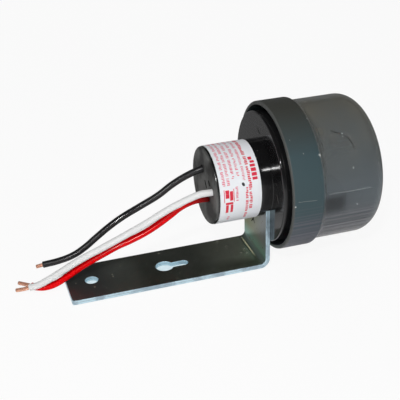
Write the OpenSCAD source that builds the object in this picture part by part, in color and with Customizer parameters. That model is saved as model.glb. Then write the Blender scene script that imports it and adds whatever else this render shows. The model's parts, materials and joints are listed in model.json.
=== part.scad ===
// Photocell switch: a smoked head locked into a receptacle that stands on an L bracket.
// Millimetres, +Z up. The origin is the centre of the fixing hole on the underside of the arm.

/* [Bracket] */
// Distance from the fixing hole to the outer face of the upright leg
leg_distance = 99.6; // [92:0.1:108]
// Length of the arm beyond the fixing hole
arm_overhang = 14.1; // [11:0.1:16]
// Width of the steel strip
strip_width = 35; // [33:0.5:37]
// Thickness of the steel strip
steel = 2.6; // [2.2:0.1:3]
// Inside radius of the bend
bend_inside = 3; // [2:0.1:5]
// Corner radius of the arm's free end
arm_corner = 2; // [1:0.1:5]
// Height of the head's axis above the underside of the arm
axis_height = 49.5; // [46:0.5:60]
// Diameter of the fixing hole
fixing_hole = 7.2; // [6:0.1:9]
// Distance from the fixing hole to the centre of the keyhole's round end
keyhole_distance = 42.2; // [36:0.1:50]
// Diameter of the keyhole's round end
keyhole_round = 10; // [8:0.1:12]
// Width of the keyhole's slot
keyhole_slot = 4.9; // [4.2:0.1:6]
// Length from the round end's centre to the far end of the slot
keyhole_reach = 13.8; // [12:0.1:16]

/* [Receptacle] */
// Outside diameter of the rear housing
barrel_d = 43.7; // [42.5:0.1:46]
// Length of the rear housing behind the flange
barrel_length = 32.5; // [30:0.5:38]
// Wall thickness of the rear housing
barrel_wall = 2.4; // [2:0.1:2.8]
// Thickness of the rear housing's closed end
barrel_end = 3; // [2.4:0.1:4]
// Rounding of the rear housing's closed edge
barrel_round = 1.6; // [1:0.1:2.2]
// Gap between the flange and the skirt round it
skirt_gap = 3; // [2.4:0.1:4]
// Depth of the flange's rim
flange_depth = 10; // [9:0.5:11]
// Thickness of the flange's back plate
flange_plate = 2.5; // [2:0.1:3]
// Thickness of the flange's rim
flange_rim = 2.2; // [1.8:0.1:3]
// Rounding of the flange's outer edges
flange_round = 0.8; // [0.4:0.1:1]
// Depth of the contact chambers
chamber_depth = 6; // [5.5:0.1:6.5]
// Thickness of the slotted front plate
face_plate = 2.5; // [2:0.1:2.8]
// Distance from the rear housing's closed end to the label
label_edge = 2.2; // [1.8:0.1:4]
// Width of the label along the barrel
label_width = 23.5; // [18:0.5:24]
// Thickness of the label
label_thick = 0.12; // [0.08:0.01:0.3]
// Angle that the label wraps round
label_wrap = 300; // [240:5:340]

/* [Head] */
// Outside diameter of the skirt
skirt_d = 84; // [82:0.5:88]
// Distance that the skirt stands out from the cap above it
skirt_step = 2.2; // [1.6:0.1:3]
// Wall thickness of the cap
cap_wall = 2; // [1.6:0.1:2.4]
// Distance from the flange's back face to the skirt's rim
skirt_start = 3.4; // [2:0.1:5]
// Rounding of the skirt's outer rim
rim_round = 0.9; // [0.4:0.1:1.2]
// Distance from the flange's back face to the top of the skirt
skirt_end = 19.9; // [19:0.1:22]
// Length of the rounded shoulder above the skirt
shoulder = 4.3; // [3:0.1:6]
// Distance from the flange's back face to the cap's closed end
cap_end = 60.1; // [57:0.1:66]
// Rounding of the cap's closed edge
cap_round = 10.3; // [6:0.1:12]
// Thickness of the head's base plate
base_plate = 3; // [2.5:0.1:3.5]
// Thickness of the circuit board
board = 1.6; // [1.2:0.1:2]
// Height of the board's posts
board_post = 4.5; // [4:0.1:6]

/* [Locking blades] */
// Radius of the circle that the blades stand on
blade_circle = 17; // [16.6:0.1:17.4]
// Thickness of a blade
blade_thick = 1.5; // [1.2:0.1:1.7]
// Angle that a line or load blade spans
blade_span = 20; // [18:1:22]
// Angle that the neutral blade spans
neutral_span = 26; // [24:1:28]
// Angle that the head turns between locked and free
twist = 18; // [15:1:20]

/* [Leads] */
// Outside diameter of a lead
wire_d = 3.8; // [3:0.1:4.2]
// Diameter of the bare conductor
copper_d = 2.2; // [1.4:0.1:2.4]

/* [Fits] */
// Clearance round a piece that is clamped or slipped in
fit = 0.2; // [0.1:0.05:0.3]
// Clearance between the turning head and the receptacle
turn_gap = 0.35; // [0.3:0.05:0.45]

/* [Hidden] */
$fn = 64;
bend_out = bend_inside + steel;
barrel_r = barrel_d / 2;
barrel_in = barrel_r - barrel_wall;
label_low = label_edge - barrel_length;
label_from = 80;
label_in = barrel_r + 0.03;
ring_r = strip_width / 2;
spigot_r = 12.2;
spigot_end = -(steel + 1.5);
boss_r = 4.2;
screw_r = 1.9;
screw_head_r = 3.6;
screw_head_h = 1.8;
screw_tip = -20;
wire_hole_r = wire_d / 2 + 0.45;
skirt_r = skirt_d / 2;
cap_r = skirt_r - skirt_step;
flange_r = skirt_r - cap_wall - skirt_gap;
hub_top = flange_plate + chamber_depth;
hub_r = 22;
face_top = hub_top + face_plate;
face_r = flange_r - flange_rim - fit;
blade_in = blade_circle - blade_thick / 2;
blade_out = blade_circle + blade_thick / 2;
jaw_sheet = 0.8;
jaw_gap = 0.5;
jaw_in = blade_in - jaw_gap;
jaw_out = blade_out + jaw_gap;
chamber_in = jaw_in - jaw_sheet - fit;
chamber_out = jaw_out + jaw_sheet + fit;
tip_gap = 0.7;
blade_tip = flange_plate + jaw_sheet + tip_gap;
blade_proud = 1.2;
foot_top = hub_top - turn_gap;
tail_r = 8.2;
tail_w = 5;
crimp_r = 2.1;
crimp_end = -9.5;
line_angle = 135;
neutral_angle = 255;
load_angle = 15;
ledge = skirt_end - cap_wall;
base_low = ledge - base_plate;
base_r = skirt_r - cap_wall - fit;
gasket_out = face_r - 3.6;
gasket_in = gasket_out - 7.5;
board_low = ledge + board_post;
board_top = board_low + board;
board_r = cap_r - cap_wall - 3.8;
post_r = 3;
post_circle = board_r - 5;
post_angles = [75, 195, 315];
pin_r = 0.4;
relay_size = [15, 19, 15.5];
relay_edge = 1;
film_size = [7, 18, 13];
film_edge = 0.8;
can_d = 10;
can_h = 13;
can_groove = 0.45;
disc_d = 14;
disc_thick = 4.4;
disc_edge = 1.5;
disc_stand = 1.6;
disc_pitch = 7.5;
rod_d = 5;
rod_length = 14;
rod_stand = 1.5;
diode_d = 2.7;
diode_length = 5;
diode_reach = 1.8;
holder_size = [3, 13, 22];
sensor_d = 12;
sensor_thick = 3;
sensor_height = 15.2;
track = 0.7;
black_hole = [2.6, 9.2];
white_hole = [-14, 2.4];
red_hole = [-7.5, -4.2];
// Moulded slits, as pairs of ends: sideways and up from the axis
end_slits = [[[-1.8, 4.3], [-4.8, 0.5]], [[-8.2, 7], [-10.6, 4.6]]];
back_slits = [[[2.8, 28.4], [-0.9, 26.1]], [[-25.3, 0.8], [-29.1, -2.6]]];
sides = 8;
bare_stub = 0.4;

// Places along the leads: distance from the flange's back, sideways, and height on the drawn bracket
drawn_leg = 99.6;
drawn_axis = 49.5;
drawn_barrel = 32.5;
black_run = [
    [-9.5, 5.8, 55.3], [-15, 5.8, 55.3], [-21, 4.8, 56.7], [-26.5, 3.2, 58.4], [-30.5, 2.6, 58.8],
    [-35, 2.9, 57.9], [-41, 4.4, 55.1], [-48.4, 6.5, 50.3], [-56.8, 8.8, 43.5], [-66.7, 11.6, 37.1],
    [-76.9, 14.4, 30.6], [-84.2, 16.4, 25], [-91.7, 18.5, 18.3], [-99.1, 20.6, 11.5], [-105.6, 22.4, 7],
    [-113.9, 24.7, 3.7], [-122.6, 26.6, 1.9]
];
black_bare = [[-122.6, 26.6, 1.9], [-126.6, 27, 1.2]];
white_run = [
    [-9.5, -7.92, 51.62], [-13.5, -7.92, 51.62], [-19, -9.6, 51.7], [-24.5, -12.6, 51.9], [-29.5, -14, 52],
    [-34.5, -14.2, 52.2], [-39, -14, 52.1], [-44.8, -13.2, 50.2], [-51, -12.3, 47.5], [-58.8, -11.2, 43.6],
    [-67.9, -9.9, 38.3], [-76.3, -8.7, 33.9], [-84.8, -7.5, 29.6], [-93.3, -6.3, 25.4], [-101.9, -5, 21.3],
    [-109, -4, 17.6], [-116.2, -2.8, 13.2], [-123.4, -1.2, 8.7], [-129.9, 1, 4.9], [-133.4, 2.6, 3.7]
];
white_bare = [[-133.4, 2.6, 3.7], [-136.9, 4.1, 2.4], [-140.7, 6.2, 1.2]];
red_run = [
    [-9.5, 2.12, 41.58], [-13, 2.12, 41.58], [-18, 0, 41.9], [-23.5, -4.6, 43.7], [-28, -7, 45.1],
    [-32.5, -7.5, 45.3], [-37, -7.1, 45.3], [-42.5, -6.5, 44.3], [-48, -6, 42], [-54.6, -5.3, 37.3],
    [-62.6, -4.5, 32], [-69.9, -3.8, 28.1], [-77.1, -3.1, 25.1], [-84.3, -2.4, 22.5], [-91.6, -1.7, 19.1],
    [-98.9, -1, 15.6], [-106.2, -0.3, 11.7], [-112.9, 0.4, 7.5], [-118.6, 1.2, 4.1], [-123.6, 2.2, 2.3],
    [-128.2, 3.6, 1.9], [-132, 6.6, 1.9]
];
red_bare = [[-132, 6.6, 1.9], [-134.8, 9.6, 1.6], [-138.4, 13.2, 1.2]];

// Local frame of the head: +Z runs along the axis towards the cap, +X points down, +Y stays sideways
module on_axis() {
    translate([leg_distance, 0, axis_height]) rotate([0, 90, 0]) children();
}

// Block that follows a circle round the axis
module arc_block(r_in, r_out, from, span, low, high) {
    translate([0, 0, low]) rotate([0, 0, from]) rotate_extrude(angle = span)
        translate([r_in, 0]) square([r_out - r_in, high - low]);
}

// Flat block standing at a radius and an angle round the axis
module radial_block(r_in, r_out, angle, width, low, high) {
    rotate([0, 0, angle]) translate([r_in, -width / 2, low]) cube([r_out - r_in, width, high - low]);
}

// How far a place on a lead has left the housing, and how far it has settled on the table
function settled(u) = min(1, max(0, (-u - 38) / 70));
function outward(u) = min(1, max(0, (-u - 15) / 10)) * (1 - settled(u));
function lead_place(p, r) = [
    drawn_leg + p[0] + (leg_distance - drawn_leg) * (1 - settled(p[0]))
        - (barrel_length - drawn_barrel) * outward(p[0]),
    p[1],
    max(p[2] + (axis_height - drawn_axis) * (1 - settled(p[0])), r)
];
function placed(run, r) = [for (q = run) lead_place(q, r)];
function unit(v) = v / norm(v);
function heading(p, i) = unit(p[min(i + 1, len(p) - 1)] - p[max(i - 1, 0)]);
function across(t) = unit(cross(t, [0, 1, 0]));
function hoop(p, i, r) = let (t = heading(p, i), a = across(t), b = cross(a, t))
    [for (k = [0 : sides - 1]) p[i] + r * (cos(360 * k / sides) * a + sin(360 * k / sides) * b)];

// Round bar swept through points
module sweep(p, r) {
    n = len(p);
    points = [for (i = [0 : n - 1]) each hoop(p, i, r)];
    skin = [for (i = [0 : n - 2], k = [0 : sides - 1])
        let (a = i * sides + k, b = i * sides + (k + 1) % sides)
            each [[a, b, b + sides], [a, b + sides, a + sides]]];
    near = [[for (k = [0 : sides - 1]) sides - 1 - k]];
    far = [[for (k = [0 : sides - 1]) (n - 1) * sides + k]];
    polyhedron(points = points, faces = concat(skin, near, far), convexity = 6);
}

module lead(run) { sweep(placed(run, wire_d / 2), wire_d / 2); }

// Bared copper that starts square on the cut end of its insulation
module bare_end(run, bare) {
    w = placed(run, wire_d / 2);
    tail = placed(bare, copper_d / 2);
    cut_end = w[len(w) - 1];
    stub = cut_end + bare_stub * unit(cut_end - w[len(w) - 2]);
    sweep(concat([cut_end, stub], [for (i = [1 : len(tail) - 1]) tail[i]]), copper_d / 2);
}

module bracket() {
    w = strip_width;
    slot_end = keyhole_distance + keyhole_reach - keyhole_slot / 2;
    color([0.62, 0.64, 0.6]) difference() {
        union() {
            translate([arm_corner - arm_overhang, -w / 2, 0])
                cube([leg_distance - bend_out + arm_overhang - arm_corner, w, steel]);
            translate([-arm_overhang, arm_corner - w / 2, 0])
                cube([arm_corner + 1, w - 2 * arm_corner, steel]);
            for (s = [-1, 1])
                translate([arm_corner - arm_overhang, s * (w / 2 - arm_corner), 0])
                    cylinder(r = arm_corner, h = steel);
            translate([leg_distance - bend_out, w / 2, bend_out]) rotate([90, 0, 0]) rotate([0, 0, -90])
                rotate_extrude(angle = 90) translate([bend_inside, 0]) square([steel, w]);
            translate([leg_distance - steel, -w / 2, bend_out]) cube([steel, w, axis_height - bend_out]);
            on_axis() translate([0, 0, -steel]) cylinder(r = ring_r, h = steel);
        }
        on_axis() translate([0, 0, -steel - 1]) cylinder(r = spigot_r + fit, h = steel + 2);
        translate([0, 0, -1]) cylinder(d = fixing_hole, h = steel + 2);
        translate([keyhole_distance, 0, -1]) cylinder(d = keyhole_round, h = steel + 2);
        translate([keyhole_distance, -keyhole_slot / 2, -1])
            cube([slot_end - keyhole_distance, keyhole_slot, steel + 2]);
        translate([slot_end, 0, -1]) cylinder(d = keyhole_slot, h = steel + 2);
    }
}

module wire_hole(place) {
    translate([-place[1], place[0], -barrel_length - 1]) cylinder(r = wire_hole_r, h = barrel_end + 2);
}

// Shallow moulded slit between two places beside the axis
module slit(ends, width, low, depth) {
    d = ends[1] - ends[0];
    translate([-ends[0][1], ends[0][0], low]) rotate([0, 0, atan2(d[0], -d[1])])
        translate([0, -width / 2, 0]) cube([norm(d), width, depth]);
}

module rear_housing() {
    floor_u = barrel_end - barrel_length;
    color([0.03, 0.03, 0.03]) on_axis() difference() {
        union() {
            difference() {
                rotate_extrude() {
                    translate([0, -barrel_length]) square([barrel_r - barrel_round, barrel_length]);
                    translate([0, barrel_round - barrel_length])
                        square([barrel_r, barrel_length - barrel_round]);
                    translate([barrel_r - barrel_round, barrel_round - barrel_length])
                        circle(r = barrel_round);
                }
                translate([0, 0, floor_u]) cylinder(r = barrel_in, h = barrel_length);
                translate([0, -ring_r - fit, -steel])
                    cube([barrel_r + 1, strip_width + 2 * fit, steel + 1]);
            }
            translate([0, 0, floor_u - 0.5]) cylinder(r = boss_r, h = spigot_end - floor_u + 0.5);
            for (a = [120, 180, 240])
                radial_block(ring_r - 2.5, barrel_in + 0.5, a, 2.4, floor_u - 0.5, -steel);
        }
        translate([0, 0, screw_tip - 1]) cylinder(r = screw_r, h = 30);
        wire_hole(black_hole);
        wire_hole(white_hole);
        wire_hole(red_hole);
        slit(end_slits[0], 1.5, -barrel_length - 1, 2.4);
        slit(end_slits[1], 1.7, -barrel_length - 1, 2.4);
    }
}

module label() {
    color([0.92, 0.93, 0.95]) on_axis()
        arc_block(label_in, label_in + label_thick, label_from, label_wrap,
            label_low, label_low + label_width);
}

module chamber(angle, span) {
    half = span / 2 + twist + 3;
    arc_block(chamber_in, chamber_out, angle - half, 2 * half, flange_plate, hub_top + 1);
    radial_block(tail_r - 1.2, chamber_in + 0.5, angle, tail_w + 2 * fit, flange_plate, hub_top + 1);
    radial_block(tail_r - jaw_sheet / 2 - fit, tail_r + jaw_sheet / 2 + fit, angle, tail_w + 2 * fit,
        spigot_end - 1, hub_top);
}

module socket_body() {
    e = flange_round;
    color([0.03, 0.03, 0.03]) on_axis() difference() {
        union() {
            difference() {
                rotate_extrude() {
                    square([flange_r - e, flange_depth]);
                    translate([0, e]) square([flange_r, flange_depth - 2 * e]);
                    translate([flange_r - e, e]) circle(r = e);
                    translate([flange_r - e, flange_depth - e]) circle(r = e);
                }
                translate([0, 0, flange_plate]) cylinder(r = flange_r - flange_rim, h = flange_depth);
            }
            translate([0, 0, spigot_end]) cylinder(r = spigot_r, h = flange_plate - spigot_end);
            cylinder(r = hub_r, h = hub_top);
            for (a = [0 : 60 : 300])
                radial_block(hub_r - 1, flange_r - flange_rim + 0.5, a + 45, 2,
                    flange_plate - 0.5, hub_top);
        }
        translate([0, 0, spigot_end - 1]) cylinder(r = screw_r + fit, h = 30);
        chamber(line_angle, blade_span);
        chamber(load_angle, blade_span);
        chamber(neutral_angle, neutral_span);
        for (b = back_slits) slit(b * flange_r / 37, 0.9, -1, 1.6);
    }
}

module blade_slot(angle, span) {
    slack = 1.4;
    arc_block(blade_in - turn_gap, blade_out + turn_gap, angle - span / 2 - slack, span + twist + 2 * slack,
        hub_top - 1, face_top + 1);
}

module socket_face() {
    color([0.05, 0.05, 0.05]) on_axis() difference() {
        translate([0, 0, hub_top]) cylinder(r = face_r, h = face_plate);
        translate([0, 0, hub_top - 1]) cylinder(r = screw_r + fit, h = face_plate + 2);
        translate([0, 0, face_top - screw_head_h]) cylinder(r = screw_head_r + fit, h = screw_head_h + 1);
        blade_slot(line_angle, blade_span);
        blade_slot(load_angle, blade_span);
        blade_slot(neutral_angle, neutral_span);
    }
}

// Brass jaw with a tail that runs back through the spigot to a crimped end
module contact(angle, span) {
    half = span / 2 + 4;
    color([0.78, 0.6, 0.25]) on_axis() {
        arc_block(jaw_in - jaw_sheet, jaw_out + jaw_sheet, angle - half, 2 * half,
            flange_plate, flange_plate + jaw_sheet);
        arc_block(jaw_in - jaw_sheet, jaw_in, angle - half, 2 * half, flange_plate, hub_top - 1);
        arc_block(jaw_out, jaw_out + jaw_sheet, angle - half, 2 * half, flange_plate, hub_top - 1);
        radial_block(tail_r - jaw_sheet / 2, jaw_in - jaw_sheet / 2, angle, tail_w,
            flange_plate, flange_plate + jaw_sheet);
        radial_block(tail_r - jaw_sheet / 2, tail_r + jaw_sheet / 2, angle, tail_w,
            spigot_end - 1, flange_plate + jaw_sheet);
        rotate([0, 0, angle]) translate([tail_r, 0, crimp_end])
            cylinder(r = crimp_r, h = spigot_end - crimp_end - 0.3);
    }
}

module contact_line() { contact(line_angle, blade_span); }
module contact_load() { contact(load_angle, blade_span); }
module contact_neutral() { contact(neutral_angle, neutral_span); }

module clamp_screw() {
    color([0.7, 0.7, 0.7]) on_axis() difference() {
        union() {
            translate([0, 0, face_top - screw_head_h]) cylinder(r = screw_head_r, h = screw_head_h);
            translate([0, 0, screw_tip]) cylinder(r = screw_r, h = face_top - screw_head_h - screw_tip);
        }
        translate([-screw_head_r - 1, -0.5, face_top - 0.9]) cube([2 * screw_head_r + 2, 1, 2]);
    }
}

// Half outline of the cap's outside, with the shoulder as a quarter of an ellipse
function shoulder_curve(n) = [for (i = [0 : n]) [
    cap_r + (skirt_r - cap_r) * (0.5 + 0.5 * cos(180 * i / n)), skirt_end + shoulder * i / n]];

module cap() {
    inner = cap_r - cap_wall;
    round_in = cap_round - cap_wall;
    top_in = cap_end - cap_wall;
    e = rim_round;
    color([0.3, 0.33, 0.33, 0.6]) on_axis() difference() {
        rotate_extrude($fn = 96) {
            polygon(concat([[0, skirt_start + e], [skirt_r, skirt_start + e]], shoulder_curve(6),
                [[0, skirt_end + shoulder]]));
            translate([0, skirt_start]) square([skirt_r - e, 2 * e]);
            translate([skirt_r - e, skirt_start + e]) circle(r = e);
            translate([0, skirt_end]) square([cap_r, cap_end - cap_round - skirt_end]);
            translate([0, skirt_end]) square([cap_r - cap_round, cap_end - skirt_end]);
            translate([cap_r - cap_round, cap_end - cap_round]) circle(r = cap_round);
        }
        translate([0, 0, skirt_start - 1])
            cylinder(r = skirt_r - cap_wall, h = ledge - skirt_start + 1, $fn = 96);
        rotate_extrude($fn = 96) {
            translate([0, skirt_start]) square([inner, top_in - round_in - skirt_start]);
            translate([0, skirt_start]) square([inner - round_in, top_in - skirt_start]);
            translate([inner - round_in, top_in - round_in]) circle(r = round_in);
        }
    }
}

module head_base() {
    color([0.05, 0.05, 0.055]) on_axis() difference() {
        union() {
            translate([0, 0, base_low]) cylinder(r = base_r, h = base_plate);
            for (a = post_angles)
                rotate([0, 0, a]) translate([post_circle, 0, ledge - 0.5])
                    cylinder(r = post_r, h = board_post + 0.5);
        }
        blade_seat(line_angle, blade_span);
        blade_seat(load_angle, blade_span);
        blade_seat(neutral_angle, neutral_span);
        for (a = post_angles)
            rotate([0, 0, a]) translate([post_circle, 0, base_low + 1]) cylinder(r = 1.3, h = 30);
    }
}

module blade_seat(angle, span) {
    arc_block(blade_in, blade_out, angle - span / 2, span, base_low - 1, board_top + 1);
}

// Curved blade with a foot that catches under the slotted plate when the head is turned home
module blade(angle, span) {
    color([0.8, 0.62, 0.28]) on_axis() difference() {
        arc_block(blade_in, blade_out, angle - span / 2 - twist, span + twist,
            blade_tip, board_top + blade_proud);
        arc_block(blade_in - 2, blade_out + 2, angle - span / 2 - twist - 5, twist + 5,
            foot_top, board_top + blade_proud + 2);
    }
}

module blade_line() { blade(line_angle, blade_span); }
module blade_load() { blade(load_angle, blade_span); }
module blade_neutral() { blade(neutral_angle, neutral_span); }

module head_gasket() {
    color([0.1, 0.1, 0.1]) on_axis() difference() {
        translate([0, 0, face_top + turn_gap]) cylinder(r = gasket_out, h = base_low - face_top - turn_gap);
        translate([0, 0, face_top]) cylinder(r = gasket_in, h = base_low - face_top + 1);
    }
}

module circuit_board() {
    color([0.15, 0.35, 0.2]) on_axis() difference() {
        translate([0, 0, board_low]) cylinder(r = board_r, h = board);
        blade_seat(line_angle, blade_span);
        blade_seat(load_angle, blade_span);
        blade_seat(neutral_angle, neutral_span);
        for (a = post_angles)
            rotate([0, 0, a]) translate([post_circle, 0, board_low - 1]) cylinder(r = 1.5, h = board + 2);
    }
}

module board_screws() {
    color([0.7, 0.7, 0.7]) on_axis() for (a = post_angles)
        rotate([0, 0, a]) translate([post_circle, 0, 0]) {
            translate([0, 0, board_top]) cylinder(r = 2.5, h = 1.6);
            translate([0, 0, board_low - 3.5]) cylinder(r = 1.3, h = board + 4);
        }
}

// Box with its long upper edges bevelled
module bevelled_box(size, edge) {
    x = size[0];
    z = size[2];
    translate([0, size[1], 0]) rotate([90, 0, 0]) linear_extrude(size[1])
        polygon([[0, 0], [x, 0], [x, z - edge], [x - edge, z], [edge, z], [0, z - edge]]);
}

// Place on the board that keeps its share of the board's radius
module on_board(x, y) {
    translate([x * board_r / 34, y * board_r / 34, board_top]) children();
}

module relay() {
    s = relay_size;
    color([0.06, 0.06, 0.07]) on_axis() on_board(9, -19) translate([-s[0] / 2, -s[1] / 2, 0]) {
        bevelled_box(s, relay_edge);
        translate([-0.4, -0.4, 0]) cube([s[0] + 0.8, s[1] + 0.8, 1.6]);
    }
}

module film_capacitor() {
    s = film_size;
    color([0.75, 0.6, 0.15]) on_axis() on_board(-20.5, 7) translate([-s[0] / 2, -s[1] / 2, 0])
        bevelled_box(s, film_edge);
}

module electrolytic_capacitor() {
    r = can_d / 2;
    g = can_groove;
    color([0.1, 0.12, 0.2]) on_axis() on_board(2, 2) difference() {
        rotate_extrude() polygon([[0, 0], [r, 0], [r, 1.4], [r - g, 1.9], [r - g, 2.3], [r, 2.8],
            [r, can_h - 0.5], [r - 0.5, can_h], [r - 1, can_h], [r - 1, can_h - 0.3], [0, can_h - 0.3]]);
        for (a = [0, 90]) rotate([0, 0, a]) translate([1 - r, -0.2, can_h - 0.6]) cube([can_d - 2, 0.4, 1]);
    }
}

module varistor() {
    e = disc_edge;
    r = disc_d / 2;
    color([0.1, 0.25, 0.5]) on_axis() on_board(6, 17) {
        translate([-disc_thick / 2, 0, disc_stand + r]) rotate([0, 90, 0]) rotate_extrude() {
            square([r - e, disc_thick]);
            translate([0, e]) square([r, disc_thick - 2 * e]);
            translate([r - e, e]) circle(r = e);
            translate([r - e, disc_thick - e]) circle(r = e);
        }
        for (s = [-1, 1]) translate([0, s * disc_pitch / 2, 0]) cylinder(r = pin_r, h = disc_stand + 3);
    }
}

module resistor() {
    r = rod_d / 2;
    n = rod_length;
    color([0.7, 0.65, 0.5]) on_axis() on_board(24.5, 8) translate([0, -n / 2, rod_stand + r]) {
        rotate([-90, 0, 0]) rotate_extrude() polygon([[0, 0], [r - 0.4, 0], [r, 0.4], [r, 2], [r - 0.3, 2.4],
            [r - 0.3, n - 2.4], [r, n - 2], [r, n - 0.4], [r - 0.4, n], [0, n]]);
        for (y = [1, n - 1])
            translate([0, y, -rod_stand - r]) cylinder(r = pin_r, h = rod_stand + r);
    }
}

module diodes() {
    color([0.05, 0.05, 0.05]) on_axis() for (x = [-15, -11.5, -8, -4.5])
        on_board(x, -2.5) translate([0, 0, diode_d / 2]) {
            translate([0, -diode_length / 2, 0]) rotate([-90, 0, 0])
                cylinder(d = diode_d, h = diode_length);
            translate([0, -diode_length / 2 - diode_reach, 0]) rotate([-90, 0, 0])
                cylinder(r = pin_r, h = diode_length + 2 * diode_reach);
            for (s = [-1, 1]) translate([0, s * (diode_length / 2 + diode_reach - pin_r), -diode_d / 2])
                cylinder(r = pin_r, h = diode_d / 2);
        }
}

module sensor_holder() {
    h = holder_size;
    color([0.85, 0.85, 0.82]) on_axis() on_board(-22, -18.5) translate([0, -h[1] / 2, 0]) {
        bevelled_box(h, 0.5);
        for (y = [0, h[1] - 1.5]) translate([h[0], y, 0]) rotate([90, 0, 0]) translate([0, 0, -1.5])
            linear_extrude(1.5) polygon([[0, 0], [5, 0], [0, 9]]);
    }
}

// Round cell whose sensing track folds back and forth across its face
module light_sensor() {
    long = sensor_d * 0.6 - 1.2;
    color([0.75, 0.45, 0.3]) on_axis() on_board(-22, -18.5) translate([0, 0, sensor_height])
        rotate([0, -90, 0]) difference() {
            cylinder(d = sensor_d, h = sensor_thick);
            for (i = [-2 : 2])
                translate([-sensor_d * 0.3 + (i % 2 == 0 ? 0 : 1.2), i * 2 * track - track / 2,
                    sensor_thick - 0.3]) cube([long, track, 1]);
        }
}

module wire_black() { color([0.04, 0.04, 0.04]) lead(black_run); }
module wire_white() { color([0.9, 0.9, 0.9]) lead(white_run); }
module wire_red() { color([0.75, 0.05, 0.05]) lead(red_run); }
module conductor_black() { color([0.85, 0.5, 0.3]) bare_end(black_run, black_bare); }
module conductor_white() { color([0.85, 0.5, 0.3]) bare_end(white_run, white_bare); }
module conductor_red() { color([0.85, 0.5, 0.3]) bare_end(red_run, red_bare); }

cap();
head_base();
head_gasket();
blade_line();
blade_load();
blade_neutral();
circuit_board();
board_screws();
relay();
varistor();
film_capacitor();
electrolytic_capacitor();
resistor();
diodes();
light_sensor();
sensor_holder();
socket_body();
socket_face();
contact_line();
contact_load();
contact_neutral();
clamp_screw();
rear_housing();
label();
bracket();
wire_black();
wire_white();
wire_red();
conductor_black();
conductor_white();
conductor_red();
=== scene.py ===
import json
import math
import random
import bpy
import bmesh
from mathutils import Matrix, Vector

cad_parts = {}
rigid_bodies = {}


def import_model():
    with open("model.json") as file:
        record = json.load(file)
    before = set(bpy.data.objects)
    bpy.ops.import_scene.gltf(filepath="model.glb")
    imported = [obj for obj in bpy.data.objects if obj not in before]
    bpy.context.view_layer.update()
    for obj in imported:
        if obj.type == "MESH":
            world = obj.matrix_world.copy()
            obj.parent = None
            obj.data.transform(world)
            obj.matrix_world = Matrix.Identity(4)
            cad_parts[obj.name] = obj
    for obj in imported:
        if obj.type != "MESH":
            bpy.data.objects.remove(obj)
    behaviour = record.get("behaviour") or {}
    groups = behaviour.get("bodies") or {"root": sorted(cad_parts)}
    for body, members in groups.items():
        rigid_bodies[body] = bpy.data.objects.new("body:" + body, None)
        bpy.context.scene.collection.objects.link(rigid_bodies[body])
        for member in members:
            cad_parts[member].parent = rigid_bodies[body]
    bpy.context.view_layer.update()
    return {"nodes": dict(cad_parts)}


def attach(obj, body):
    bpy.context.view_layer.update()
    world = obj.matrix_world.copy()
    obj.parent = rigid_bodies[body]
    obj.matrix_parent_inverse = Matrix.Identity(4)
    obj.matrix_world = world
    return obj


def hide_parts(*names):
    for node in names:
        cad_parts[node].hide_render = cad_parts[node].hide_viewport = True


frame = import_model()
nodes = frame["nodes"]
mm = 0.001
print("frame loaded:", len(nodes), "solids")

photoCamera = {
    "place": (-0.063757, -0.424891, 0.276762), "yaw": -16.80, "pitch": 27.98, "roll": -1.793,
    "lens": 81.43, "sensor": 36.0, "clip": (0.01, 20)}


def outward(azimuth, height):  # direction from the object, angles round it and up
    level = math.cos(height)
    return Vector((math.sin(azimuth) * level, -math.cos(azimuth) * level, math.sin(height)))


def setCamera(look):
    yaw, pitch, roll = (math.radians(look[k]) for k in ("yaw", "pitch", "roll"))
    back = outward(yaw, pitch)
    right = (-back).cross(Vector((0, 0, 1))).normalized()
    up = right.cross(-back)
    across = math.cos(roll) * right + math.sin(roll) * up  # the photo leans a little
    upright = math.cos(roll) * up - math.sin(roll) * right
    cameraData = bpy.data.cameras.new("photoCamera")
    cameraData.lens = look["lens"]
    cameraData.sensor_width = look["sensor"]
    cameraData.clip_start, cameraData.clip_end = look["clip"]
    camera = bpy.data.objects.new("photoCamera", cameraData)
    bpy.context.collection.objects.link(camera)
    turn = Matrix((across, upright, back)).transposed().to_4x4()
    camera.matrix_world = Matrix.Translation(look["place"]) @ turn
    bpy.context.scene.camera = camera


setCamera(photoCamera)
print("camera set")


# material building blocks

def startFinish(name):
    finish = bpy.data.materials.new(name)
    finish.use_nodes = True
    tree = finish.node_tree
    spot = tree.nodes.new("ShaderNodeTexCoord").outputs["Object"]
    return finish, tree, tree.nodes["Principled BSDF"], spot


def axes(tree, spot):
    parts = tree.nodes.new("ShaderNodeSeparateXYZ")
    tree.links.new(spot, parts.inputs["Vector"])
    return tuple(parts.outputs[k] for k in "XYZ")


def stretchSpot(tree, spot, scale):  # squeezes the pattern along an axis
    mapping = tree.nodes.new("ShaderNodeMapping")
    mapping.inputs["Scale"].default_value = scale
    tree.links.new(spot, mapping.inputs["Vector"])
    return mapping.outputs["Vector"]


def noise(tree, spot, scale, detail=4.0, roughness=0.55):
    node = tree.nodes.new("ShaderNodeTexNoise")
    node.inputs["Scale"].default_value = scale
    node.inputs["Detail"].default_value = detail
    node.inputs["Roughness"].default_value = roughness
    tree.links.new(spot, node.inputs["Vector"])
    return node.outputs["Fac"]


def ramp(tree, source, low, high, atLow=0.0, atHigh=1.0):
    node = tree.nodes.new("ShaderNodeMapRange")
    for socket, value in zip(("From Min", "From Max", "To Min", "To Max"), (low, high, atLow, atHigh)):
        node.inputs[socket].default_value = value
    tree.links.new(source, node.inputs["Value"])
    return node.outputs["Result"]


def fall(tree, source, low, high):  # from 1 down to 0
    return ramp(tree, source, low, high, 1.0, 0.0)


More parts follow.
